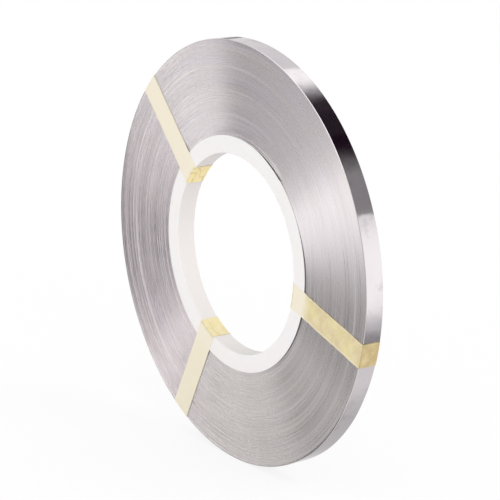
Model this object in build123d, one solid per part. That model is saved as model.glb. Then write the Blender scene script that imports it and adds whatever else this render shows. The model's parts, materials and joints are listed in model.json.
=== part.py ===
from build123d import *
import os

# A coil of thin nickel alloy strip, wound on a plastic core and held by three bands of masking tape.
# It stands on its rim. +Z is up, the coil's axis runs along Y, and its front end faces -Y.
# The origin is on the floor, under the middle of the coil.
# All sizes are in millimetres, and all angles in degrees.

# Plastic core, cut to the width of the strip
core_bore_diameter = 100.0
core_wall = 9.0

# Wound strip
strip_width = 10.0
strip_thickness = 0.2
coil_diameter = 212.0
core_clearance = 0.15

# The turns show on both ends: one turn in so many sits a little lower than the rest
turns_to_a_low_turn = 10
low_turn_depth = 0.1

# Masking tape, with the clearance at which it lies around the rim and in the bore
tape_width = 12.7
tape_thickness = 0.15
tape_clearance = 0.02

# Each band runs straight out from the bore. Its direction is seen on the front end and counted from
# +X towards +Z. Its middle line passes the axis on the left, or on the right where the offset is negative.
band_1_direction = 133.3
band_1_offset = 4.5
band_2_direction = 242.5
band_2_offset = -0.4
band_3_direction = 342.9
band_3_offset = 5.8
tape_bands = {
    "tape_band_1": (band_1_direction, band_1_offset),
    "tape_band_2": (band_2_direction, band_2_offset),
    "tape_band_3": (band_3_direction, band_3_offset),
}

# Worked out from the sizes above
bore_radius = core_bore_diameter / 2
core_radius = bore_radius + core_wall
winding_inner_radius = core_radius + core_clearance
winding_outer_radius = coil_diameter / 2
low_turn_pitch = turns_to_a_low_turn * strip_thickness
low_turns = int((winding_outer_radius - winding_inner_radius - strip_thickness) / low_turn_pitch)
width_over_tape = strip_width + 2 * tape_thickness

# Each piece is made with its axis on Z and its front end up, and is then stood on the rim
stood_up = Pos(0, 0, winding_outer_radius) * Rot(90, 0, 0)


def ring(outer_radius, inner_radius, width):
    """A plain ring, half of its width on each side of z = 0."""
    return Cylinder(outer_radius, width) - Cylinder(inner_radius, width)


def make_core():
    """The core is a length of plastic tube."""
    return ring(core_radius, bore_radius, strip_width)


def end_profile(level, into_the_coil):
    """Points along one end of the winding, from its bore to its rim, with a notch for each low turn."""
    points = [(winding_inner_radius, level)]
    for count in range(1, low_turns + 1):
        start = winding_inner_radius + count * low_turn_pitch
        stop = start + strip_thickness
        floor = level + into_the_coil * low_turn_depth
        points += [(start, level), (start, floor), (stop, floor), (stop, level)]
    points.append((winding_outer_radius, level))
    return points


def make_winding():
    """All turns of the strip as one turned solid, open at the core."""
    front = end_profile(strip_width / 2, -1)
    back = end_profile(-strip_width / 2, 1)
    outline = front + back[::-1]
    section = make_face(Polyline(*[(radius, 0, height) for radius, height in outline], close=True))
    return revolve(section, axis=Axis.Z)


def make_tape_band(direction, offset):
    """A closed loop of tape around the section of the winding and the core."""
    wrapped_outer_radius = winding_outer_radius + tape_clearance
    wrapped_inner_radius = bore_radius - tape_clearance
    outside = ring(
        wrapped_outer_radius + tape_thickness,
        wrapped_inner_radius - tape_thickness,
        width_over_tape,
    )
    inside = ring(wrapped_outer_radius, wrapped_inner_radius, strip_width)
    path = Box(coil_diameter, tape_width, width_over_tape, align=(Align.MIN, Align.CENTER, Align.CENTER))
    path = Rot(0, 0, direction) * Pos(0, offset, 0) * path
    return (outside & path) - inside


pieces = {
    "core": make_core(),
    "strip_winding": make_winding(),
}
for name, (direction, offset) in tape_bands.items():
    pieces[name] = make_tape_band(direction, offset)

os.makedirs("parts", exist_ok=True)
for name, piece in pieces.items():
    export_step(stood_up * piece, f"parts/{name}.step")
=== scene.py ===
import json
import math

import bpy
import numpy as np
from bpy.props import FloatProperty, FloatVectorProperty, IntProperty, PointerProperty
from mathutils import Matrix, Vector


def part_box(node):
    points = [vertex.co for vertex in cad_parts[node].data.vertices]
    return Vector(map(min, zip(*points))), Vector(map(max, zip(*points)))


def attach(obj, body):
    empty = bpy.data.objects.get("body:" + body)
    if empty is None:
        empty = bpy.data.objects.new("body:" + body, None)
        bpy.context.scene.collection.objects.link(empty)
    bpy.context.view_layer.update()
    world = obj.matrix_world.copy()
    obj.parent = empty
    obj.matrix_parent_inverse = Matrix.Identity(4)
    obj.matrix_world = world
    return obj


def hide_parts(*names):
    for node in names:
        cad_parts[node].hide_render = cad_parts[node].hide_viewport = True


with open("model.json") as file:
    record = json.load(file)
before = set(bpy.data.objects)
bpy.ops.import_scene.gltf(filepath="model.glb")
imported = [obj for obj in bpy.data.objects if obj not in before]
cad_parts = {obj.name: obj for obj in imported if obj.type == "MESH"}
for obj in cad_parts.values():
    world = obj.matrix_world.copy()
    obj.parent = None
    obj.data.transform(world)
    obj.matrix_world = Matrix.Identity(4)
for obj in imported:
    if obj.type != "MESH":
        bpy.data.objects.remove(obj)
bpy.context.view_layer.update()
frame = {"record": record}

bl_info = {
    "name": "Strip Coil",
    "version": (1, 0, 0),
    "blender": (4, 5, 0),
    "location": "View3D > Sidebar > Strip Coil",
    "description": "A coil of bright alloy strip on a plastic core, held by bands of masking tape",
    "category": "Object",
}

# The coil stands on its rim, with its axis along Y and its front end towards -Y. Angles around it
# are seen on the front end and counted from +X towards +Z. Sizes are in metres.
MM = 0.001
BODY = "root"

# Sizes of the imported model
COIL_LOW, COIL_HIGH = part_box("strip_winding")
CORE_LOW, CORE_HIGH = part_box("core")
MOUNTS = {mount["name"]: mount for mount in frame["record"]["mounts"]}
COIL_RADIUS = (COIL_HIGH.z - COIL_LOW.z) / 2
AXIS_HEIGHT = (COIL_HIGH.z + COIL_LOW.z) / 2
HALF_WIDTH = (COIL_HIGH.y - COIL_LOW.y) / 2
CORE_RADIUS = (CORE_HIGH.z - CORE_LOW.z) / 2
BORE_RADIUS = MOUNTS["core_bore"]["dims"]["r_mm"] * MM

# Tape bands: the imported node, the direction in degrees, how far the middle line passes beside the
# axis, how much painted shade the paper takes over the metal, the rim and its raised edge, how
# strong its painted crease shade is, which also deepens the painted shade in the bore, how bright
# that bore shade is, and which of its edges has come up
BAND_PARTS = ("node", "direction", "offset", "shade", "crease_shade", "bore_tone", "raised")
TAPE_BANDS = {
    name: dict(zip(BAND_PARTS, values))
    for name, *values in (
        ("tape_wrap_1", "tape_band_1", 133.3, 4.5 * MM, 0.04, 1.0, 1.0, -1),
        ("tape_wrap_2", "tape_band_2", 242.5, -0.4 * MM, 0.12, 0.25, 0.78, 1),
        ("tape_wrap_3", "tape_band_3", 342.9, 5.8 * MM, 1.0, 0.6, 0.9, 1),
    )
}

# Camera of the photograph
CAMERA_PLACE = (0.8370, -0.5755, 0.3793)
CAMERA_AZIMUTH = 55.265
CAMERA_PITCH = 14.981
CAMERA_LENS = 154.13
SENSOR_WIDTH = 36.0
NEAREST_SEEN = 0.01

# Seeds of the chance values, and the angles in degrees from which an edge of a piece looks sharp
STRIP_SEED = 7
CORE_SEED = 11
USUAL_SHARP = 35.0
PAPER_SHARP = 50.0


def colour(name, description, value):
    """A colour setting."""
    return FloatVectorProperty(
        name=name, description=description, default=value, subtype="COLOR", size=3, min=0.0, max=1.0
    )


def length(name, description, value):
    """A length setting."""
    return FloatProperty(
        name=name, description=description, default=value, unit="LENGTH", precision=5
    )


def angle(name, description, degrees):
    """An angle setting, given in degrees."""
    return FloatProperty(
        name=name, description=description, default=math.radians(degrees), subtype="ANGLE"
    )


def amount(name, description, value):
    """A plain number setting."""
    return FloatProperty(name=name, description=description, default=value, min=0.0)


class StripSettings(bpy.types.PropertyGroup):
    turns: IntProperty(name="Turns", description="Whole turns of strip on the core", default=234)
    thickness: length("Thickness", "Thickness of the strip", 0.188 * MM)
    width: length("Width", "Width of the strip between its slit edges", 9.84 * MM)
    inner_end: angle("Inner end", "Where the strip starts on the core", 48.4)
    outer_end: angle("Outer end", "Where the strip ends, under a band of tape", 133.3)
    end_lift: length("End lift", "How far the turns stand off the core at its inner end", 0.62 * MM)
    side_lift: length("Side lift", "How far the turns stand off the core on the right", 0.95 * MM)
    rim_lift: length("Rim lift", "How far the last turns stand off the others", 0.26 * MM)
    sway: length("Sway", "How far single turns stand in or out of the ends", 0.05 * MM)
    lean: angle("Lean", "How far the slit edges lean outwards", 16.0)
    edge_colour: colour("Edge colour", "Colour of the slit edges", (0.80, 0.757, 0.766))
    face_colour: colour("Face colour", "Colour of the rolled faces", (0.70, 0.664, 0.679))


class CoreSettings(bpy.types.PropertyGroup):
    bore_rounding: length("Bore rounding", "Rounding of the core's inner edges", 0.5 * MM)
    rim_rounding: length("Rim rounding", "Rounding of the core's outer edges", 0.1 * MM)
    unevenness: length("Unevenness", "How far the bore is out of round", 0.08 * MM)
    colour: colour("Colour", "Colour of the plastic", (0.955, 0.932, 0.93))
    # Painted shade: the bore wall is a darker, slightly warmer copy of the plastic
    shaded_bore_colour: colour("Bore colour", "Colour of the bore wall", (0.73, 0.70, 0.68))
    # Painted shade: the core's outer wall is painted dark where it faces the strip across the gap
    gap_shade_colour: colour("Rubbed colour", "Where the strip has rubbed", (0.28, 0.265, 0.25))


class TapeSettings(bpy.types.PropertyGroup):
    width: length("Width", "Width of the tape", 12.7 * MM)
    thickness: length("Thickness", "Thickness of the tape", 0.12 * MM)
    clearance: length("Clearance", "Space under the tape on both ends of the coil", 0.012 * MM)
    fold_radius: length("Fold radius", "Rounding where the tape goes over an edge", 0.5 * MM)
    wavy: length("Wavy", "How far the tape's long edges wander", 0.12 * MM)
    raised: length("Raised", "How far an edge has come up beside the core", 0.07 * MM)
    overlap: length("Overlap", "How far the two ends of a band overlap in the bore", 5.0 * MM)
    colour: colour("Colour", "Colour of the tape over the white core", (0.95, 0.885, 0.715))
    # Painted shade: the paper over the metal takes this darker colour, as the shaded metal seen
    # through it
    metal_colour: colour(
        "Colour over metal", "Colour of the tape over shaded metal", (0.74, 0.61, 0.345)
    )
    # Painted shade: the paper on the rim takes this darker colour
    rim_colour: colour("Colour on the rim", "Colour over the bright rim", (0.48, 0.375, 0.185))
    # Lying double and painted shade: the deeper colour of the paper in the bore
    double_and_shade_colour: colour("Double colour", "Colour where the tape lies double", (0.86, 0.72, 0.30))


class StageSettings(bpy.types.PropertyGroup):
    floor_size: length("Floor", "Width of the floor", 12.0)
    floor_colour: colour("Floor colour", "Colour of the floor", (0.93, 0.915, 0.93))
    floor_glow: amount("Floor glow", "Share of plain white in the floor's look", 0.80)
    ambient: amount("Ambient", "Light from all round", 0.80)
    mirrored: amount("Mirrored", "Plain level that the metal mirrors", 0.84)
    sun: amount("Sun", "Light of the soft lamp", 0.45)
    sun_azimuth: angle("Sun azimuth", "Direction of the lamp, from +Y towards +X", 88.0)
    sun_height: angle("Sun height", "Height of the lamp above the horizon", 36.0)
    sun_width: angle("Sun width", "Width of the soft lamp", 70.0)


def smooth_step(value):
    """0 below 0, 1 above 1, and a soft rise between."""
    value = np.clip(value, 0.0, 1.0)
    return value * value * (3.0 - 2.0 * value)


def spline_weights(part):
    """How much each of four neighbouring free values counts at a place between them."""
    return (
        (1 - part) ** 3 / 6,
        (3 * part**3 - 6 * part**2 + 4) / 6,
        (-3 * part**3 + 3 * part**2 + 3 * part + 1) / 6,
        part**3 / 6,
    )


def wander(rng, places, step):
    """Smooth chance values between -1 and 1 along a line, with one free value in every step."""
    knot, part = np.divmod(np.asarray(places, float) / step, 1.0)
    knot = knot.astype(int)
    free = rng.uniform(-1.0, 1.0, knot.max() + 4)
    return sum(weight * free[knot + index] for index, weight in enumerate(spline_weights(part)))


def wander_on_end(rng, turned, angles, turn_step, angle_steps):
    """Smooth chance values over an end of the coil, shared by neighbouring turns."""
    row, row_part = np.divmod(turned / turn_step, 1.0)
    column, column_part = np.divmod((angles / math.tau) % 1.0 * angle_steps, 1.0)
    row, column = row.astype(int), column.astype(int)
    free = rng.uniform(-1.0, 1.0, (row.max() + 4, angle_steps))
    total = np.zeros_like(turned)
    for down, row_weight in enumerate(spline_weights(row_part)):
        for across, column_weight in enumerate(spline_weights(column_part)):
            values = free[row + down, (column + across) % angle_steps]
            total += row_weight * column_weight * values
    return total


# Lowest and highest chance height of one wave around a ring
WAVE_HEIGHTS = (0.4, 1.0)


def around(rng, angles, waves):
    """Smooth chance values around a ring, built from the given numbers of waves."""
    total = np.zeros_like(angles)
    for wave in waves:
        total += rng.uniform(*WAVE_HEIGHTS) * np.sin(wave * angles + rng.uniform(0, math.tau))
    return total / len(waves)


def angle_from(angles, middle):
    """Signed angle from a middle direction, between minus and plus half a turn."""
    return (angles - middle + math.pi) % math.tau - math.pi


def on_coil(radii, angles, depths):
    """Points from radius, angle and place along the axis."""
    return np.stack(
        [radii * np.cos(angles), depths, AXIS_HEIGHT + radii * np.sin(angles)], axis=-1
    )


def put_in_scene(name, data):
    """An object with the given mesh, lamp or camera."""
    made = bpy.data.objects.new(name, data)
    bpy.context.scene.collection.objects.link(made)
    return made


def make_piece(name, points, faces, materials, face_materials=None, sharp=USUAL_SHARP):
    """A smooth-shaded mesh object, with edges sharper than the given angle kept sharp."""
    mesh = bpy.data.meshes.new(name)
    mesh.from_pydata(points.reshape(-1, 3).tolist(), [], [tuple(face) for face in faces])
    for material in materials:
        mesh.materials.append(material)
    if face_materials is not None:
        mesh.polygons.foreach_set("material_index", face_materials)
    mesh.validate()
    mesh.shade_smooth()
    mesh.set_sharp_from_angle(angle=math.radians(sharp))
    mesh.update()
    return put_in_scene(name, mesh)


def grid_faces(rows, columns, close_rows=False, close_columns=False):
    """Quads of a grid of points, with its last row or column joined to its first if asked."""
    row = np.arange(rows if close_rows else rows - 1)
    column = np.arange(columns if close_columns else columns - 1)
    row, column = np.meshgrid(row, column, indexing="ij")
    next_row, next_column = (row + 1) % rows, (column + 1) % columns
    corners = [
        row * columns + column,
        row * columns + next_column,
        next_row * columns + next_column,
        next_row * columns + column,
    ]
    return np.stack(corners, axis=-1).reshape(-1, 4)


class Nodes:
    """A short way to build a node tree."""

    def __init__(self, tree):
        self.tree = tree
        tree.nodes.clear()

    def add(self, kind, inputs=None, **options):
        """A node with its options set and its inputs set or linked."""
        node = self.tree.nodes.new(kind)
        for name, value in options.items():
            setattr(node, name, value)
        for name, value in (inputs or {}).items():
            self.feed(node.inputs[name], value)
        return node

    def feed(self, socket, value):
        """Links an output to the socket, or sets the socket's own value."""
        if isinstance(value, bpy.types.NodeSocket):
            self.tree.links.new(value, socket)
        else:
            socket.default_value = value

    def maths(self, operation, *values):
        """The result of one sum."""
        inputs = dict(enumerate(values))
        return self.add("ShaderNodeMath", inputs, operation=operation).outputs[0]

    def times(self, product, *values):
        """The product of all the values."""
        for value in values:
            product = self.maths("MULTIPLY", product, value)
        return product

    def vector(self, operation, *values, output="Vector"):
        """The result of one sum of vectors."""
        inputs = dict(enumerate(values))
        return self.add("ShaderNodeVectorMath", inputs, operation=operation).outputs[output]

    def dot(self, first, second):
        """How nearly two directions agree, from -1 to 1."""
        return self.vector("DOT_PRODUCT", first, second, output="Value")

    def noise(self, vector, scale, detail=2.0, roughness=0.5):
        """The strength of a noise pattern, about 0.5."""
        inputs = {"Vector": vector, "Scale": scale, "Detail": detail, "Roughness": roughness}
        return self.add("ShaderNodeTexNoise", inputs).outputs["Fac"]

    def ramp(self, value, low, high, to_low=0.0, to_high=1.0, **options):
        """A value moved from one range to another, and kept in it."""
        inputs = {"Value": value, "From Min": low, "From Max": high}
        inputs |= {"To Min": to_low, "To Max": to_high}
        return self.add("ShaderNodeMapRange", inputs, clamp=True, **options).outputs["Result"]

    def blend(self, share, first, second):
        """One colour turning into another."""
        node = self.add("ShaderNodeMix", data_type="RGBA")
        for index, value in ((0, share), (6, first), (7, second)):
            self.feed(node.inputs[index], value)
        return node.outputs[2]

    def bump(self, height, distance, strength=1.0):
        """Normals of a relief."""
        inputs = {"Height": height, "Distance": distance, "Strength": strength}
        return self.add("ShaderNodeBump", inputs).outputs["Normal"]

    def finish(self, shader, kind="ShaderNodeOutputMaterial"):
        """Links the shader to the output of the material or the world."""
        self.tree.links.new(shader.outputs[0], self.add(kind).inputs["Surface"])

    def cover(self, inputs):
        """Puts a surface with the given inputs on the material."""
        self.finish(self.add("ShaderNodeBsdfPrincipled", inputs))


def kinds_of_ray(nodes):
    """Whether a ray comes straight from the camera, and whether something mirrors or bends it."""
    path = nodes.add("ShaderNodeLightPath").outputs
    mirrored = nodes.maths("MAXIMUM", path["Is Glossy Ray"], path["Is Transmission Ray"])
    return path["Is Camera Ray"], mirrored


def new_material(name):
    """An empty node material."""
    material = bpy.data.materials.new(name)
    material.use_nodes = True
    return material, Nodes(material.node_tree)


def polar_place(nodes):
    """Radius from the axis, and a point on the unit circle that gives the angle."""
    place = nodes.add("ShaderNodeTexCoord").outputs["Object"]
    from_axis = nodes.vector("SUBTRACT", place, (0.0, 0.0, AXIS_HEIGHT))
    flat = nodes.vector("MULTIPLY", from_axis, (1.0, 0.0, 1.0))
    radius = nodes.vector("LENGTH", flat, output="Value")
    return radius, nodes.vector("NORMALIZE", flat)


def ring_pattern(nodes, radius, circle, rings_per_metre, waves_around):
    """Noise drawn out around the axis into arcs."""
    spread = nodes.vector("SCALE", circle)
    spread.node.inputs["Scale"].default_value = waves_around
    outwards = nodes.times(radius, rings_per_metre)
    along = nodes.add("ShaderNodeCombineXYZ", {"Y": outwards}).outputs[0]
    return nodes.noise(nodes.vector("ADD", spread, along), 1.0)


def paint(base, tint=(1.0, 1.0, 1.0)):
    """The colour of a setting, tinted, as a node takes it."""
    return tuple(part * scale for part, scale in zip(base, tint)) + (1.0,)


def shaded(base, share):
    """The colour of a setting with a share of its brightness."""
    return paint(base, (share, share, share))


# The range that most of a noise pattern keeps to
MOST_NOISE = (0.3, 0.7)

# Slit edges: rings to a metre and waves around the coil, tints and shares of the metal's colour,
# the levels between which one colour turns into the next, how far from the rim the painted shade
# on the left side reaches, and how rough and how streaky the metal is
BROAD_RINGS = (260.0, 1.6)
FINE_RINGS = (2600.0, 3.0)
COOL_TINT = (0.995, 0.99, 1.015)
WARM_TINT = (1.01, 1.0, 0.985)
WARM_FADE = (0.35, 0.65)
LOW_RIGHT = (0.5, 0.0, -0.87)
YELLOW_TINT = (0.99, 0.998, 0.955)
YELLOW_FADE = (0.35, 0.8)
DARK_SHARE = 0.89
DARK_FADE = (0.30, 0.46)
# Painted shade on the left side near the rim: its share of the colour, its strength and its fade
LEFT_SHADE_SHARE = 0.72
LEFT_SHADE_STRENGTH = 0.85
LEFT_SHADE_FADE = (-0.82, -0.95)
LEFT_SHADE_START, LEFT_SHADE_STOP = 4.5 * MM, 1.5 * MM
EDGE_ROUGHNESS = (0.31, 0.25)
EDGE_STREAK = 0.75
QUARTER_TURN = 0.25


def slit_edge_material(settings):
    """Satin metal, drawn out around the coil, with faint rings of warmer and cooler grey."""
    material, nodes = new_material("slit_edge")
    radius, circle = polar_place(nodes)
    broad = ring_pattern(nodes, radius, circle, *BROAD_RINGS)
    fine = ring_pattern(nodes, radius, circle, *FINE_RINGS)
    base = settings.edge_colour
    warm = nodes.ramp(broad, *WARM_FADE)
    tint = nodes.blend(warm, paint(base, COOL_TINT), paint(base, WARM_TINT))
    low_side = nodes.ramp(nodes.dot(circle, LOW_RIGHT), *YELLOW_FADE)
    tint = nodes.blend(low_side, tint, paint(base, YELLOW_TINT))
    shade = nodes.blend(nodes.ramp(fine, *DARK_FADE), shaded(base, DARK_SHARE), tint)
    sides = nodes.add("ShaderNodeSeparateXYZ", {0: circle}).outputs
    # Painted shade: the slit edges are painted darker on the left side near the rim
    left_side = nodes.ramp(sides["X"], *LEFT_SHADE_FADE, 0.0, LEFT_SHADE_STRENGTH)
    near_rim = nodes.ramp(radius, COIL_RADIUS - LEFT_SHADE_START, COIL_RADIUS - LEFT_SHADE_STOP)
    painted_shade_place = nodes.times(left_side, near_rim)
    shade = nodes.blend(painted_shade_place, shade, shaded(base, LEFT_SHADE_SHARE))
    tangent = nodes.add("ShaderNodeTangent", direction_type="RADIAL", axis="Y").outputs[0]
    surface = {
        "Base Color": shade,
        "Metallic": 1.0,
        "Roughness": nodes.ramp(fine, *MOST_NOISE, *EDGE_ROUGHNESS),
        "Anisotropic": EDGE_STREAK,
        "Anisotropic Rotation": QUARTER_TURN,
        "Tangent": tangent,
    }
    nodes.cover(surface)
    return material


# Rolled faces: waves, specks and smudges to a metre, with the levels at which they show and how
# strongly, and the relief and roughness of the metal
WAVES, WAVE_FADE, WAVE_SHARE = 85.0, (0.35, 0.6), 0.975
SPECKS, SPECK_HEIGHT = 900.0, 0.012
SMUDGES, SMUDGE_FADE, SMUDGE_SHARE = 95.0, (0.55, 0.72), 0.80
RELIEF = 0.07 * MM
FACE_ROUGHNESS = (0.05, 0.10)
SMUDGE_ROUGHNESS = 0.06


def rolled_face_material(settings):
    """Mirror-bright metal with the faint waves of rolled strip."""
    material, nodes = new_material("rolled_face")
    place = nodes.add("ShaderNodeTexCoord").outputs["Object"]
    waves = nodes.noise(place, WAVES)
    specks = nodes.noise(place, SPECKS)
    relief = nodes.maths("ADD", nodes.times(specks, SPECK_HEIGHT), waves)
    smudges = nodes.ramp(nodes.noise(place, SMUDGES, detail=3.0, roughness=0.6), *SMUDGE_FADE)
    worn = nodes.ramp(specks, *MOST_NOISE, *FACE_ROUGHNESS)
    base = settings.face_colour
    bright = nodes.blend(nodes.ramp(waves, *WAVE_FADE), shaded(base, WAVE_SHARE), paint(base))
    smudged = nodes.times(smudges, SMUDGE_ROUGHNESS)
    surface = {
        "Base Color": nodes.blend(smudges, bright, shaded(base, SMUDGE_SHARE)),
        "Metallic": 1.0,
        "Roughness": nodes.maths("ADD", worn, smudged),
        "Normal": nodes.bump(relief, RELIEF),
    }
    nodes.cover(surface)
    return material


# Core: clouds and saw marks to a metre, how far a wall has to face the axis or the strip to take
# the painted shade of the bore wall or the painted dark shade of the gap under the strip, and how
# far the plastic lets light through
CLOUDS, CLOUD_FADE = 60.0, (0.4, 0.62)
SAW_MARKS = (400.0, 1500.0, 400.0)
CREAM_TINT = (1.0, 0.995, 0.97)
FACING_AXIS = (-0.5, -0.95)
FACING_STRIP = (0.6, 0.95)
CORE_ROUGHNESS = (0.42, 0.55)
MARK_DEPTH = 0.02 * MM
LIGHT_THROUGH = 0.12
LIGHT_SPREAD = (1.0, 0.9, 0.8)
LIGHT_REACH = 1.0 * MM


def core_material(settings):
    """Off-white plastic, a little translucent, with painted shade on the bore and gap walls."""
    material, nodes = new_material("core_plastic")
    _, circle = polar_place(nodes)
    place = nodes.add("ShaderNodeTexCoord").outputs["Object"]
    outwards = nodes.dot(nodes.add("ShaderNodeNewGeometry").outputs["Normal"], circle)
    clouds = nodes.noise(place, CLOUDS, detail=3.0)
    marks = nodes.noise(nodes.vector("MULTIPLY", place, SAW_MARKS), 1.0, detail=3.0)
    base = settings.colour
    face = nodes.blend(nodes.ramp(clouds, *CLOUD_FADE), paint(base), paint(base, CREAM_TINT))
    # Painted shade: walls facing the axis take the darker bore colour, the outer wall facing the
    # strip the dark gap colour
    to_axis = nodes.ramp(outwards, *FACING_AXIS)
    to_strip = nodes.ramp(outwards, *FACING_STRIP)
    walls = nodes.blend(to_axis, face, paint(settings.shaded_bore_colour))
    shade = nodes.blend(to_strip, walls, paint(settings.gap_shade_colour))
    surface = {
        "Base Color": shade,
        "Roughness": nodes.ramp(marks, *MOST_NOISE, *CORE_ROUGHNESS),
        "Subsurface Weight": LIGHT_THROUGH,
        "Subsurface Radius": LIGHT_SPREAD,
        "Subsurface Scale": LIGHT_REACH,
        "Normal": nodes.bump(marks, MARK_DEPTH),
    }
    nodes.cover(surface)
    return material


# Paper: patterns to a metre across and along the tape, their strengths, and where its colours
# change, measured from the tape's long edges, the core's outside, the rim and the bore
LENGTH_MAP = "TapeLength"
CREPE = (420.0, 2300.0, 1.0)
GRAIN = (900.0, 1500.0, 1.0)
BLOTCHES = (230.0, 300.0, 1.0)
STAINS = (90.0, 70.0, 1.0)
CREASES = (95.0, 150.0, 1.0)
MOTTLING = (0.66, 1.12)
SPECKLING = (0.78, 1.22)
STAIN_FADE, STAIN_TINT = (0.42, 0.58), (1.1, 1.17, 1.05)
BLOTCH_FADE = (0.2, 0.5)
BROWN_SHARE, LEAST_BROWN = 0.45, 0.3
# Painted crease shade: its share of the bore colour, where the crease lies, its width and strength,
# and how far the painted shade in the bore goes
CREASE_SHADE_SHARE = 0.62
CREASE_LEVEL, CREASE_WIDTH, CREASE_STRENGTH = 0.47, 0.03, 0.8
BORE_STRENGTH, BORE_STRENGTH_CREASED = 0.72, 0.13
PALE_START, PALE_STOP, PALE_EDGE_SHARE = 1.3 * MM, 0.3 * MM, 0.45
# Where the painted shadow and dirt along the raised edge starts and stops, from the edge
EDGE_LINE_START, EDGE_LINE_STOP = 0.6 * MM, 0.3 * MM
METAL_START, METAL_STOP = -0.5 * MM, 5.0 * MM
RIM_START, RIM_STOP = 0.5 * MM, 0.1 * MM
BORE_START, BORE_STOP = 0.1 * MM, 1.5 * MM
PAPER_ROUGHNESS = (0.62, 0.78)
PAPER_GLOSS = 0.35
CREPE_DEPTH, CREPE_STRENGTH = 0.06 * MM, 0.8


def paper_over_coil(nodes, settings, band, place, mottle, blotches):
    """Colour of the tape over the core, the metal and the rim."""
    radius, across, pattern = place
    shade = band["shade"]
    half = settings.width / 2
    beside = nodes.maths("ABSOLUTE", across)
    inside = nodes.ramp(beside, half - PALE_START, half - PALE_STOP, 1.0, PALE_EDGE_SHARE)
    over_metal = nodes.ramp(radius, CORE_RADIUS + METAL_START, CORE_RADIUS + METAL_STOP)
    over_rim = nodes.ramp(radius, COIL_RADIUS - RIM_START, COIL_RADIUS - RIM_STOP, 0.0, shade)
    speckle = nodes.ramp(pattern(GRAIN), *MOST_NOISE, *SPECKLING)
    # Painted shade over the metal, by the band's share, paler towards the tape's edges
    on_metal = nodes.times(over_metal, inside, shade, nodes.times(mottle, speckle))
    metal = settings.metal_colour
    stained = nodes.ramp(pattern(STAINS), *STAIN_FADE)
    through = nodes.blend(stained, paint(metal), paint(metal, STAIN_TINT))
    over_end = nodes.blend(on_metal, paint(settings.colour), through)
    # Painted shade on the rim, by the band's share
    body = nodes.blend(nodes.times(over_rim, mottle), over_end, paint(settings.rim_colour))
    # Painted shadow and dirt: a broken brown line along the raised edge, over the metal
    to_edge = nodes.times(across, float(band["raised"]))
    edge_shadow_and_dirt = nodes.ramp(to_edge, half - EDGE_LINE_START, half - EDGE_LINE_STOP, 0.0, shade)
    edge_shadow_and_dirt = nodes.times(edge_shadow_and_dirt, over_metal, nodes.ramp(blotches, *BLOTCH_FADE, LEAST_BROWN))
    return nodes.blend(edge_shadow_and_dirt, body, shaded(metal, BROWN_SHARE))


def paper_in_bore(nodes, settings, band, place, mottle, body):
    """Colour of the tape in the bore: deeper where it lies double and with painted shade, and
    darker along a painted crease shade.
    """
    radius, _, pattern = place
    double = settings.double_and_shade_colour
    deepest = BORE_STRENGTH + BORE_STRENGTH_CREASED * band["crease_shade"]
    start, stop = BORE_RADIUS + BORE_START, BORE_RADIUS + BORE_STOP
    # Paper in the bore deepens towards the double colour, partly for lying double and partly as
    # painted shade
    in_bore = nodes.ramp(radius, start, stop, deepest, 0.0)
    share = nodes.times(in_bore, mottle)
    lying_double = nodes.blend(share, body, shaded(double, band["bore_tone"]))
    # Painted shade: a dark olive line along the crease, standing for its shade
    crease_side = nodes.maths("SUBTRACT", pattern(CREASES, detail=1.0), CREASE_LEVEL)
    beside = nodes.maths("ABSOLUTE", crease_side)
    crease_shade = nodes.ramp(beside, 0.0, CREASE_WIDTH, CREASE_STRENGTH * band["crease_shade"], 0.0)
    crease_shade = nodes.times(crease_shade, in_bore)
    return nodes.blend(crease_shade, lying_double, shaded(double, CREASE_SHADE_SHARE))


def tape_material(name, settings, band):
    """Creped paper tape: paler over the core and along its edges, with painted shade over the
    metal, the rim and in the bore, and deeper in the bore where it lies double.
    """
    material, nodes = new_material(name)
    radius, _ = polar_place(nodes)
    length_map = nodes.add("ShaderNodeUVMap", uv_map=LENGTH_MAP).outputs[0]
    across = nodes.add("ShaderNodeSeparateXYZ", {0: length_map}).outputs["X"]

    def pattern(scale, detail=2.0, roughness=0.5):
        return nodes.noise(nodes.vector("MULTIPLY", length_map, scale), 1.0, detail, roughness)

    place = radius, across, pattern
    crepe = pattern(CREPE, detail=3.0)
    blotches = pattern(BLOTCHES, detail=3.0, roughness=0.6)
    mottle = nodes.ramp(blotches, *MOST_NOISE, *MOTTLING)
    body = paper_over_coil(nodes, settings, band, place, mottle, blotches)
    surface = {
        "Base Color": paper_in_bore(nodes, settings, band, place, mottle, body),
        "Roughness": nodes.ramp(crepe, *MOST_NOISE, *PAPER_ROUGHNESS),
        "Specular IOR Level": PAPER_GLOSS,
        "Normal": nodes.bump(crepe, CREPE_DEPTH, CREPE_STRENGTH),
    }
    nodes.cover(surface)
    return material


# How the strip is wound: its sections to a turn, its gap off the core, the rise over its inner end,
# and in which turns each place where the turns stand off starts, rises or dies out
SECTIONS_PER_TURN = 96
SECTIONS_PER_OUTER_TURN = 288
OUTER_TURNS = 3
CORE_GAP = 0.06 * MM
WEDGE_SHARE = 0.093
FALL_SHARE = 0.02
TURNS_TO_SETTLE = 76.0
TURNS_TO_CLOSE = 80.0
FIRST_TURN_SHARE = 0.45
FIRST_TURNS = 1.2
LOOSE_LIFT = 0.33 * MM
LOOSE_START = 3.6
LAST_TURNS = 2.4
STEP_TURNS = 0.3
RIM_RIGHT_SHARE = 0.3

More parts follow.
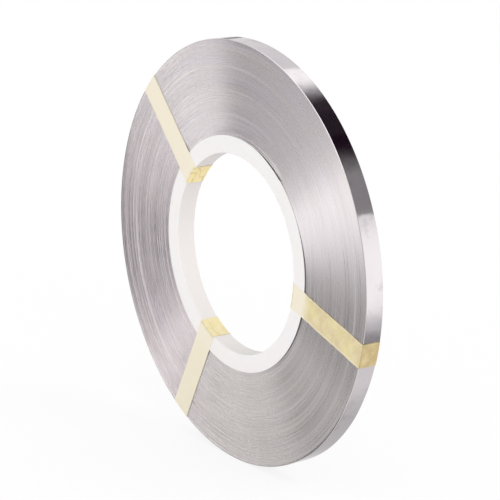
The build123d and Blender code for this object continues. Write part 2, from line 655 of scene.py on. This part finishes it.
# Places around the coil: first and last angle, and the fade before and after them, in degrees
OFF_CORE = (-14.0, 4.0, 48.0, 27.0)
OFF_FIRST_TURNS = (54.0, 74.0, 4.0, 20.0)
OFF_RIM_LOW = (-50.0, -37.0, 14.0, 10.0)
OFF_RIM_RIGHT = (-12.0, -2.0, 8.0, 16.0)
CRUSHED_PLACE = (52.0, 92.0, 4.0, 16.0)
CALM_PLACE = (108.0, 150.0, 14.0, 14.0)

# Scuffed and calmer places of the same kind, each with how much it adds to the plain scuffing
PLAIN_SCUFFING = 0.5
SCUFFED_PLACES = (
    (186.0, 214.0, 24.0, 24.0, 1.2),
    (312.0, 344.0, 20.0, 16.0, 1.0),
    (-8.0, 6.0, 16.0, 12.0, 1.2),
    (54.0, 84.0, 16.0, 12.0, 0.9),
    (108.0, 140.0, 16.0, 14.0, -0.42),
    (250.0, 284.0, 10.0, 14.0, -0.38),
)

# Patterns on an end: how many turns share a value, and how many values go around the coil
LONG_ARCS = (2.4, 4)
SHORT_ARCS = (2.0, 11)
BROAD_BANDS = (16.0, 5)
LOW_LINES = (1.5, 5)

# How strongly the patterns move and lean the slit edges, and how far the turns lean and stand back
# where they are crushed, near the core and at the rim
LONG_SWAY, SHORT_SWAY = 0.8, 0.6
LONG_LEAN, SHORT_LEAN, MOST_LEAN = 0.28, 0.13, 0.045
BAND_LEAN, CALMED_SHARE = 0.14, 0.6
LOW_LINE_START, LOW_LINE_RISE = 0.32, 0.3
LOW_LINE_DEPTH = 0.12 * MM
CRUSHED_TURNS, CRUSHED_LEAN = 13.0, math.radians(18.0)
RIM_TURNS, RIM_LEAN = 2.0, math.radians(46.0)
INNER_RECESS, INNER_RECESS_TURNS = 0.09 * MM, 20.0
OUTER_RECESS, OUTER_RECESS_TURNS = 0.10 * MM, 2.5
BACK_RECESS_SHARE = 0.5

# How far beside a band's middle line the tape holds the turns down
HELD_REACH, HELD_FADE = 7.4 * MM, 0.8 * MM


def window(angles, low, high, fade_low, fade_high):
    """1 between two angles in degrees, with a soft fade outside each of them."""
    middle = math.radians((low + high) / 2)
    reach = math.radians((high - low) / 2)
    away = angle_from(angles, middle)
    fade = np.where(away > 0, math.radians(fade_high), math.radians(fade_low))
    return 1.0 - smooth_step((np.abs(away) - reach) / fade)


def wound_radius(settings, turned, angles, turns):
    """Inner radius of the strip along its winding, with the places where it stands off."""
    start = CORE_RADIUS + CORE_GAP
    pitch = (COIL_RADIUS - settings.thickness - start) / turns
    lap, part = np.divmod(turned, 1.0)
    rise = smooth_step((part - 1.0 + WEDGE_SHARE) / WEDGE_SHARE)
    fall = 1.0 - smooth_step(part / FALL_SHARE)
    climb = lap + part + np.exp(-lap / TURNS_TO_SETTLE) * (rise - part)
    settling = np.exp(-turned / TURNS_TO_SETTLE)
    slack = settling * (1.0 - FIRST_TURN_SHARE * np.exp(-((turned / FIRST_TURNS) ** 4)))
    over_end = settings.end_lift * slack * np.maximum(rise, fall)
    on_right = settings.side_lift * window(angles, *OFF_CORE)
    on_right *= np.exp(-turned / TURNS_TO_CLOSE)
    loose = LOOSE_LIFT * window(angles, *OFF_FIRST_TURNS)
    loose *= smooth_step((turned - LOOSE_START) / STEP_TURNS)
    loose *= settling
    at_rim = window(angles, *OFF_RIM_LOW) + RIM_RIGHT_SHARE * window(angles, *OFF_RIM_RIGHT)
    at_rim *= settings.rim_lift * smooth_step((turned - turns + LAST_TURNS) / STEP_TURNS)
    return start + pitch * climb + over_end + on_right + loose + at_rim


def under_tape(radii, angles):
    """1 where a band of tape holds the turns down, and 0 beside it."""
    held = np.zeros_like(radii)
    for band in TAPE_BANDS.values():
        away = angles - math.radians(band["direction"])
        beside = np.abs(radii * np.sin(away) - band["offset"])
        near = smooth_step((HELD_REACH - beside) / HELD_FADE)
        held = np.maximum(held, np.where(np.cos(away) > 0.0, near, 0.0))
    return held


def slit_edge(rng, settings, turned, angles, held):
    """How far one slit edge stands back, and how far it leans outwards."""
    scuffs = PLAIN_SCUFFING
    for *place, more in SCUFFED_PLACES:
        scuffs = scuffs + more * window(angles, *place)
    long = wander_on_end(rng, turned, angles, *LONG_ARCS)
    short = wander_on_end(rng, turned, angles, *SHORT_ARCS)
    bands = wander_on_end(rng, turned, angles, *BROAD_BANDS)
    lines = wander_on_end(rng, turned, angles, *LOW_LINES)
    low_lines = np.clip(lines - LOW_LINE_START, 0.0, 1.0) / LOW_LINE_RISE
    back = settings.sway * (LONG_SWAY * long + SHORT_SWAY * short)
    back += LOW_LINE_DEPTH * scuffs * low_lines
    back += held * np.maximum(-back, 0.0)
    streaks = np.minimum(LONG_LEAN * long + SHORT_LEAN * short, MOST_LEAN)
    calm = BAND_LEAN * (1.0 - CALMED_SHARE * window(angles, *CALM_PLACE))
    return back, settings.lean * (1.0 + scuffs * streaks + calm * bands)


# Where the faces of the strip lie on its map, from bottom to top: the slit edges at the front and
# at the back, the outer turn's outer face, and all the hidden faces on top of each other
MAP_FRONT = (0.0, 0.455)
MAP_BACK = (0.46, 0.915)
MAP_RIM = (0.92, 0.985)
MAP_HIDDEN = (0.99, 1.0)


def lay_turn_map(mesh, turned, turns):
    """A map of the strip with its turns laid flat beside each other, from the core to the rim."""
    start = turned[:-1]
    step = np.diff(turned)[:, None] * np.array([0, 0, 1, 1])
    along = start[:, None] + step
    across = (start[:, None] % 1.0 + step) / (1.0 + 1.0 / SECTIONS_PER_TURN)
    side = np.broadcast_to(np.array([0.0, 1.0, 1.0, 0.0]), along.shape)
    at_rim = (start > turns - 1.0)[:, None]

    def within(part, share):
        return part[0] + (part[1] - part[0]) * share

    heights = [
        within(MAP_FRONT, (along + side) / (turns + 1.0)),
        np.where(at_rim, within(MAP_RIM, side), within(MAP_HIDDEN, side)),
        within(MAP_BACK, (along + 1.0 - side) / (turns + 1.0)),
        within(MAP_HIDDEN, side),
    ]
    corners = np.stack([np.stack([across, height], axis=-1) for height in heights], axis=1)
    low, high = MAP_HIDDEN
    end = [(0.0, low), (high - low, low), (high - low, high), (0.0, high)]
    layer = mesh.uv_layers.new(name="OFBake")
    layer.data.foreach_set("uv", np.concatenate([corners.ravel(), np.ravel(end), np.ravel(end)]))


def strip_section(settings, turned, angles, turns):
    """The four corners of the strip's section at every place along it."""
    rng = np.random.default_rng(STRIP_SEED)
    inner = wound_radius(settings, turned, angles, turns)
    outer = inner + settings.thickness
    held = under_tape(inner, angles)
    front_back, front_lean = slit_edge(rng, settings, turned, angles, held)
    rear_back, rear_lean = slit_edge(rng, settings, turned, angles, held)
    left = turns - turned
    crushed = np.exp(-((turned / CRUSHED_TURNS) ** 2)) * window(angles, *CRUSHED_PLACE)
    front_lean = front_lean + CRUSHED_LEAN * crushed
    at_rim = np.clip(RIM_TURNS - left, 0.0, 1.0)
    front_lean = front_lean + at_rim * (RIM_LEAN - front_lean)
    rear_lean = rear_lean + at_rim * (RIM_LEAN - rear_lean)
    recess = INNER_RECESS * np.exp(-turned / INNER_RECESS_TURNS)
    recess += OUTER_RECESS * np.exp(-left / OUTER_RECESS_TURNS)
    half = settings.width / 2
    front = np.clip(front_back + recess - half, -HALF_WIDTH, 0.0)
    back = np.clip(half - rear_back - BACK_RECESS_SHARE * recess, 0.0, HALF_WIDTH)
    return [
        on_coil(inner, angles, front),
        on_coil(outer, angles, front + settings.thickness * np.tan(front_lean)),
        on_coil(outer, angles, back - settings.thickness * np.tan(rear_lean)),
        on_coil(inner, angles, back),
    ]


def wind_strip(settings):
    """One continuous strip from its inner end on the core to its outer end under the tape."""
    turn_share = ((settings.inner_end - settings.outer_end) / math.tau) % 1.0
    turns = settings.turns - 1 + turn_share
    coarse = np.arange(0.0, turns - OUTER_TURNS, 1.0 / SECTIONS_PER_TURN)
    fine = np.linspace(turns - OUTER_TURNS, turns, OUTER_TURNS * SECTIONS_PER_OUTER_TURN + 1)
    turned = np.concatenate([coarse, fine])
    angles = settings.inner_end - math.tau * turned
    points = np.stack(strip_section(settings, turned, angles, turns), axis=1)
    corners = points.shape[1]
    sides = grid_faces(len(turned), corners, close_columns=True)
    last = corners * (len(turned) - 1)
    ends = np.array([[3, 2, 1, 0], [last, last + 1, last + 2, last + 3]])
    faces = np.concatenate([sides, ends])
    face_materials = np.append(np.tile([0, 1, 0, 1], len(turned) - 1), [0, 0])
    materials = [slit_edge_material(settings), rolled_face_material(settings)]
    piece = make_piece("wound_strip", points, faces, materials, face_materials)
    lay_turn_map(piece.data, turned, turns)
    return piece


# The core: sections around the bore and at each rounded corner, its waves, and a flattened place
CORE_SECTIONS = 288
CORNER_STEPS = 5
BORE_WAVES = (2, 3, 5, 8, 13, 19)
SAW_WAVES = (1, 2, 3, 5)
SAW_DEPTH = 0.03 * MM
FLAT_DEPTH = 0.4 * MM
FLAT_PLACE = (50.0, 57.0, 1.5, 18.0)


def core_section(inner, outer):
    """Outline of the core's section, with its inner and outer corners rounded: radius and depth."""
    corners = [
        (CORE_RADIUS - outer, -HALF_WIDTH + outer, -90.0, outer),
        (CORE_RADIUS - outer, HALF_WIDTH - outer, 0.0, outer),
        (BORE_RADIUS + inner, HALF_WIDTH - inner, 90.0, inner),
        (BORE_RADIUS + inner, -HALF_WIDTH + inner, 180.0, inner),
    ]
    outline = []
    for middle, depth, start, rounding in corners:
        for step in range(CORNER_STEPS + 1):
            turn = math.radians(start + 90.0 * step / CORNER_STEPS)
            outline.append((middle + rounding * math.cos(turn), depth + rounding * math.sin(turn)))
    return np.array(outline)


def make_core(settings):
    """The core: a sawn length of plastic tube, a little out of round."""
    rng = np.random.default_rng(CORE_SEED)
    angles = np.arange(CORE_SECTIONS) * math.tau / CORE_SECTIONS
    wall = CORE_RADIUS - BORE_RADIUS
    outline = core_section(settings.bore_rounding, settings.rim_rounding)
    flat = FLAT_DEPTH * window(angles, *FLAT_PLACE)
    bore_shift = settings.unevenness * (0.5 + 0.5 * around(rng, angles, BORE_WAVES))
    saw = SAW_DEPTH * around(rng, angles, SAW_WAVES)
    radii, depths = outline[:, 0], outline[:, 1]
    share = (radii - BORE_RADIUS) / wall
    shifted = radii + (1 - share) * bore_shift[:, None] - share * flat[:, None]
    sawn = depths - np.sign(depths) * np.abs(saw[:, None])
    points = on_coil(shifted, np.broadcast_to(angles[:, None], shifted.shape), sawn)
    faces = grid_faces(CORE_SECTIONS, len(outline), close_rows=True, close_columns=True)
    return make_piece("core_ring", points, faces, [core_material(settings)])


# Stretches of the tape's loop, with their rows of points and which way they face in degrees: 0 is
# away from the axis, and 90 is the back. Then the rows of a fold, the columns across the tape, and
# how far past the core the tape has come down to the strip
STRETCHES = (("bore", 26, 180.0), ("front", 130, 270.0), ("rim", 30, 0.0), ("back", 130, 90.0))
BORE_ROWS = STRETCHES[0][1]
FOLD_ROWS = 6
TAPE_COLUMNS = 33
PAST_CORE = 0.8 * MM

# How the paper lies: seed and width in columns of its ripples, and its small lifts and their places
RIPPLE_SEED, RIPPLE_COLUMNS, RIPPLE_LENGTH = 100, 6, 3.0 * MM
RIPPLE_LIFT, LOOSE_RIPPLE_LIFT = 0.008 * MM, 0.05 * MM
CURL_LIFT, CURL_POWER = 0.04 * MM, 6
DOUBLE_GAP, DOUBLE_ROWS = 0.02 * MM, 3
BULGE_PLACE, BULGE_REACH = 3.0 * MM, 1.6 * MM
RAISED_FROM = 0.6
EDGE_WAVE = 5.0 * MM


def tape_loop():
    """Rows of one loop: stretch, share along it or None in the fold after it, and normal's turn."""
    rows = []
    for name, count, facing in STRETCHES:
        rows += [(name, step / (count - 1), facing) for step in range(count)]
        rows += [(name, None, facing + 90.0 * step / FOLD_ROWS) for step in range(1, FOLD_ROWS)]
    return rows


def lay_tape(settings, inner, outer, strip_width):
    """Points and normals of the loop in the plane of one column: outwards, and along the axis."""
    half = HALF_WIDTH + settings.clearance
    sink = 1.0 - strip_width / (2 * HALF_WIDTH)
    fold = settings.fold_radius
    low, high = inner - settings.clearance, outer + settings.clearance
    near, far, front, back = low + fold, high - fold, -half + fold, half - fold

    # start and stop of each flat stretch, and the middle of the fold after it
    stretches = {
        "bore": ((low, back), (low, front), (near, front)),
        "front": ((near, -half), (far, -half), (far, front)),
        "rim": ((high, front), (high, back), (far, back)),
        "back": ((far, half), (near, half), (near, back)),
    }
    places, normals = [], []
    for name, share, facing in tape_loop():
        turn = math.radians(facing)
        normal = (math.cos(turn), math.sin(turn))
        start, stop, middle = stretches[name]
        if share is None:
            place = [centre + fold * part for centre, part in zip(middle, normal)]
        else:
            place = [a + share * (b - a) for a, b in zip(start, stop)]
        past_core = smooth_step((place[0] - inner - (CORE_RADIUS - BORE_RADIUS)) / PAST_CORE)
        places.append((place[0], place[1] * (1.0 - sink * past_core)))
        normals.append(normal)
    return np.array(places), np.array(normals)


def lay_columns(band, settings, across, strip_width):
    """Points and normals of a whole band, with its two ends overlapping in the bore."""
    columns = []
    for place in across:
        beside = band["offset"] + place
        inner = math.sqrt(BORE_RADIUS**2 - beside**2)
        outer = math.sqrt(COIL_RADIUS**2 - beside**2)
        columns.append(lay_tape(settings, inner, outer, strip_width))
    places, normals = (np.stack(part, axis=1) for part in zip(*columns))

    # the band starts part way down the bore, and its last stretch lies over the start
    reach = round(BORE_ROWS * settings.overlap / (2 * HALF_WIDTH) / 2)
    first, last, rows = BORE_ROWS // 2 - reach, BORE_ROWS // 2 + reach, len(places)
    order = np.concatenate([np.arange(first, rows), np.arange(0, last)])
    lying_double = smooth_step((np.arange(last) - first + DOUBLE_ROWS) / DOUBLE_ROWS)
    double = np.concatenate([np.zeros(rows - first), lying_double])
    return places[order], normals[order], double


def lift_paper(band, settings, edge, along, facing, outwards, double):
    """How far the paper lies off the coil: ripples, curling edges and the edge that has come up."""
    loose = np.clip(np.abs(facing), 0.0, 1.0)
    relief = np.zeros((len(along), TAPE_COLUMNS))
    for column in range(TAPE_COLUMNS):
        ripples = np.random.default_rng(RIPPLE_SEED + column // RIPPLE_COLUMNS)
        relief[:, column] = wander(ripples, along, RIPPLE_LENGTH)
    ripple = 0.5 + 0.5 * relief
    lift = RIPPLE_LIFT * ripple + LOOSE_RIPPLE_LIFT * ripple * loose[:, None]
    lift += double[:, None] * (settings.thickness + DOUBLE_GAP)
    lift += CURL_LIFT * loose[:, None] * edge[None, :] ** CURL_POWER
    beside_core = outwards - CORE_RADIUS - BULGE_PLACE
    bulge = np.exp(-((beside_core / BULGE_REACH) ** 2))
    raised = smooth_step((band["raised"] * edge - RAISED_FROM) / (1.0 - RAISED_FROM))
    return lift + settings.raised * bulge[:, None] * raised[None, :]


def wrap_tape(name, band, settings, strip_width):
    """One band of tape around the section of the coil."""
    rng = np.random.default_rng(int(band["direction"]))
    direction = math.radians(band["direction"])
    outwards = np.array([math.cos(direction), 0.0, math.sin(direction)])
    sideways = np.array([-math.sin(direction), 0.0, math.cos(direction)])
    across = np.linspace(-settings.width / 2, settings.width / 2, TAPE_COLUMNS)
    edge = across / (settings.width / 2)
    places, normals, double = lay_columns(band, settings, across, strip_width)
    middle = places[:, TAPE_COLUMNS // 2]
    steps = np.linalg.norm(np.diff(middle, axis=0), axis=1)
    along = np.concatenate([[0.0], np.cumsum(steps)])
    facing = normals[:, TAPE_COLUMNS // 2, 0]
    lift = lift_paper(band, settings, edge, along, facing, middle[:, 0], double)
    low_edge = settings.wavy * wander(rng, along, EDGE_WAVE)
    high_edge = settings.wavy * wander(rng, along, EDGE_WAVE)
    share = (edge[None, :] + 1.0) / 2.0
    aside = across[None, :] + share * high_edge[:, None] + (1.0 - share) * low_edge[:, None]

    def solid_points(height):
        moved = places + normals * height[..., None]
        point = moved[..., :1] * outwards + (band["offset"] + aside)[..., None] * sideways
        point[..., 1] = moved[..., 1]
        point[..., 2] += AXIS_HEIGHT
        return point

    under = solid_points(lift)
    over = solid_points(lift + settings.thickness)
    points = np.concatenate([under, over[:, ::-1]], axis=1)
    loop = 2 * TAPE_COLUMNS
    sides = grid_faces(len(along), loop, close_columns=True)
    faces = [tuple(face[::-1]) for face in sides]
    last_row = loop * (len(along) - 1)
    for column in range(TAPE_COLUMNS - 1):
        mate = loop - 1 - column
        faces.append((column, column + 1, mate - 1, mate))
        faces.append(tuple(last_row + corner for corner in (mate, mate - 1, column + 1, column)))
    material = tape_material(name + "_paper", settings, band)
    piece = make_piece(name, points, faces, [material], sharp=PAPER_SHARP)
    lay_length_map(piece.data, along, across, loop)
    return piece


def lay_length_map(mesh, along, across, loop):
    """A map of the tape's own width and length, in metres."""
    layer = mesh.uv_layers.new(name=LENGTH_MAP)
    corner_points = np.zeros(len(mesh.loops), int)
    mesh.loops.foreach_get("vertex_index", corner_points)
    widths = np.concatenate([across, across[::-1]])
    values = np.stack([widths[corner_points % loop], along[corner_points // loop]], axis=1)
    layer.data.foreach_set("uv", values.ravel())


def seat(piece, slot, *nodes):
    """Puts a finished piece on the coil's body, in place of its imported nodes."""
    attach(piece, BODY)
    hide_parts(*nodes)


def direction_of(azimuth, elevation):
    """A unit vector: azimuth 0 is +Y, 90 is +X, and elevation is above the horizon."""
    azimuth, elevation = math.radians(azimuth), math.radians(elevation)
    level = math.cos(elevation)
    return (math.sin(azimuth) * level, math.cos(azimuth) * level, math.sin(elevation))


# What the bright metal mirrors: round soft boxes that add light, and flags that take a share away.
# Each has an azimuth, an elevation, a radius and an edge softness in degrees, and its strength
SOFT_BOXES = (
    (-101.0, -22.9, 24.7, 18.8, 1.02),
    (-165.0, 33.9, 34.6, 29.0, 0.89),
    (54.1, -2.4, 15.9, 24.8, 0.43),
    (110.7, 10.4, 22.7, 26.2, 0.21),
    (-26.9, 60.8, 18.0, 2.9, 0.45),
)
FLAGS = (
    (-141.4, 18.8, 23.0, 7.0, 0.70),
    (-158.2, -22.2, 8.5, 12.5, 0.97),
    (10.9, 47.5, 18.4, 14.9, 0.98),
    (46.0, 39.6, 18.9, 1.5, 0.65),
    (152.7, 3.5, 28.5, 28.0, 0.49),
    (-25.9, -49.8, 21.4, 28.0, 0.29),
    (-127.9, -51.3, 22.4, 31.2, 0.64),
    (54.0, -31.0, 5.0, 14.0, 0.36),
    (44.0, -36.0, 6.0, 7.0, 0.47),
    (-56.5, 2.0, 2.2, 2.0, 0.70),
)


# The faint lilac of the mirrored studio, and the levels at which the camera sees plain white
MIRRORED_TINT = (0.008, 0.0, 0.007)
WHITE = (1.0, 1.0, 1.0, 1.0)
FLOOR_WHITE = 1.005


def round_mask(nodes, ray, azimuth, elevation, radius, softness):
    """1 inside a round patch of the studio, and 0 outside its soft edge."""
    agreement = nodes.dot(ray, direction_of(azimuth, elevation))
    outside = math.cos(math.radians(radius + softness / 2))
    inside = math.cos(math.radians(radius - softness / 2))
    return nodes.ramp(agreement, outside, inside, interpolation_type="SMOOTHSTEP")


def set_world(settings):
    """White for the camera, even light for dull surfaces, and a studio for the metal to mirror."""
    world = bpy.data.worlds.new("studio")
    bpy.context.scene.world = world
    world.use_nodes = True
    world.cycles.sampling_method = "NONE"
    nodes = Nodes(world.node_tree)
    ray = nodes.add("ShaderNodeTexCoord").outputs["Generated"]
    level = settings.mirrored
    for *patch, strength in SOFT_BOXES:
        light = nodes.times(round_mask(nodes, ray, *patch), strength)
        level = nodes.maths("ADD", light, level)
    for *patch, strength in FLAGS:
        shade = nodes.times(round_mask(nodes, ray, *patch), -strength)
        level = nodes.times(nodes.maths("ADD", shade, 1.0), level)
    from_camera, mirrored = kinds_of_ray(nodes)
    studio = nodes.vector("ADD", level, MIRRORED_TINT)
    light = nodes.blend(mirrored, shaded(WHITE[:3], settings.ambient), studio)
    seen = nodes.blend(from_camera, light, WHITE)
    background = nodes.add("ShaderNodeBackground", {"Color": seen, "Strength": 1.0})
    nodes.finish(background, "ShaderNodeOutputWorld")


def lay_floor(settings):
    """A pale floor that keeps the coil's soft shadow."""
    half = settings.floor_size / 2
    corners = ((-1, -1), (1, -1), (1, 1), (-1, 1))
    points = np.array([(x * half, y * half, 0.0) for x, y in corners])
    material, nodes = new_material("pale_floor")
    seen = nodes.maths("MAXIMUM", *kinds_of_ray(nodes))
    pale = nodes.add("ShaderNodeBsdfDiffuse", {"Color": paint(settings.floor_colour)})
    glow = nodes.add("ShaderNodeEmission", {"Color": WHITE, "Strength": FLOOR_WHITE})
    share = nodes.times(seen, settings.floor_glow)
    shader = nodes.add("ShaderNodeMixShader", {0: share, 1: pale.outputs[0], 2: glow.outputs[0]})
    nodes.finish(shader)
    floor = make_piece("floor", points, [(0, 1, 2, 3)], [material])
    floor.visible_glossy = False


def hang_sun(settings):
    """One wide soft lamp, which the bright metal doesn't mirror."""
    data = bpy.data.lights.new("soft_sun", "SUN")
    data.energy = settings.sun * math.pi
    data.angle = settings.sun_width
    sun = put_in_scene("soft_sun", data)
    azimuth, height = math.degrees(settings.sun_azimuth), math.degrees(settings.sun_height)
    sun.rotation_euler = (math.radians(90.0 - height), 0.0, math.radians(180.0 - azimuth))
    sun.visible_glossy = False


def set_camera():
    """The camera of the photograph."""
    data = bpy.data.cameras.new("photo_camera")
    data.sensor_width = SENSOR_WIDTH
    data.lens = CAMERA_LENS
    data.clip_start = NEAREST_SEEN
    camera = put_in_scene("photo_camera", data)
    camera.location = CAMERA_PLACE
    camera.rotation_euler = (math.radians(90.0 - CAMERA_PITCH), 0.0, math.radians(CAMERA_AZIMUTH))
    bpy.context.scene.camera = camera


class STRIPCOIL_OT_set_stage(bpy.types.Operator):
    """Set the camera, the floor, the lamps and the studio around the coil"""

    bl_idname = "strip_coil.set_stage"
    bl_label = "Set Stage"

    def execute(self, context):
        settings = context.scene.strip_coil.stage
        context.scene.view_settings.view_transform = "Standard"
        set_camera()
        set_world(settings)
        lay_floor(settings)
        hang_sun(settings)
        return {"FINISHED"}


class STRIPCOIL_OT_wind_strip(bpy.types.Operator):
    """Wind the strip onto the core"""

    bl_idname = "strip_coil.wind_strip"
    bl_label = "Wind Strip"

    def execute(self, context):
        piece = wind_strip(context.scene.strip_coil.strip)
        seat(piece, "nickel_alloy", "strip_winding")
        return {"FINISHED"}


class STRIPCOIL_OT_make_core(bpy.types.Operator):
    """Make the plastic core"""

    bl_idname = "strip_coil.make_core"
    bl_label = "Make Core"

    def execute(self, context):
        piece = make_core(context.scene.strip_coil.core)
        seat(piece, "core_plastic", "core")
        return {"FINISHED"}


class STRIPCOIL_OT_wrap_tape(bpy.types.Operator):
    """Wrap the bands of masking tape around the coil"""

    bl_idname = "strip_coil.wrap_tape"
    bl_label = "Wrap Tape"

    def execute(self, context):
        settings = context.scene.strip_coil
        for name, band in TAPE_BANDS.items():
            piece = wrap_tape(name, band, settings.tape, settings.strip.width)
            seat(piece, "masking_tape", band["node"])
        return {"FINISHED"}


class StripCoilSettings(bpy.types.PropertyGroup):
    strip: PointerProperty(type=StripSettings)
    core: PointerProperty(type=CoreSettings)
    tape: PointerProperty(type=TapeSettings)
    stage: PointerProperty(type=StageSettings)


class STRIPCOIL_PT_panel(bpy.types.Panel):
    """Sizes and colours of the coil"""

    bl_idname = "STRIPCOIL_PT_panel"
    bl_label = "Strip Coil"
    bl_space_type = "VIEW_3D"
    bl_region_type = "UI"
    bl_category = "Strip Coil"

    def draw(self, context):
        settings = context.scene.strip_coil
        for group, operator in STEPS:
            box = self.layout.box()
            part = getattr(settings, group)
            for name in part.__annotations__:
                box.prop(part, name)
            box.operator(operator)


STEPS = (
    ("stage", "strip_coil.set_stage"),
    ("strip", "strip_coil.wind_strip"),
    ("core", "strip_coil.make_core"),
    ("tape", "strip_coil.wrap_tape"),
)
CLASSES = (
    StripSettings,
    CoreSettings,
    TapeSettings,
    StageSettings,
    StripCoilSettings,
    STRIPCOIL_OT_set_stage,
    STRIPCOIL_OT_wind_strip,
    STRIPCOIL_OT_make_core,
    STRIPCOIL_OT_wrap_tape,
    STRIPCOIL_PT_panel,
)


def register():
    for cls in CLASSES:
        bpy.utils.register_class(cls)
    bpy.types.Scene.strip_coil = PointerProperty(type=StripCoilSettings)


def unregister():
    del bpy.types.Scene.strip_coil
    for cls in reversed(CLASSES):
        bpy.utils.unregister_class(cls)


def main():
    register()
    bpy.ops.strip_coil.set_stage()
    bpy.ops.strip_coil.wind_strip()
    bpy.ops.strip_coil.make_core()
    bpy.ops.strip_coil.wrap_tape()


if __name__ == "__main__":
    main()
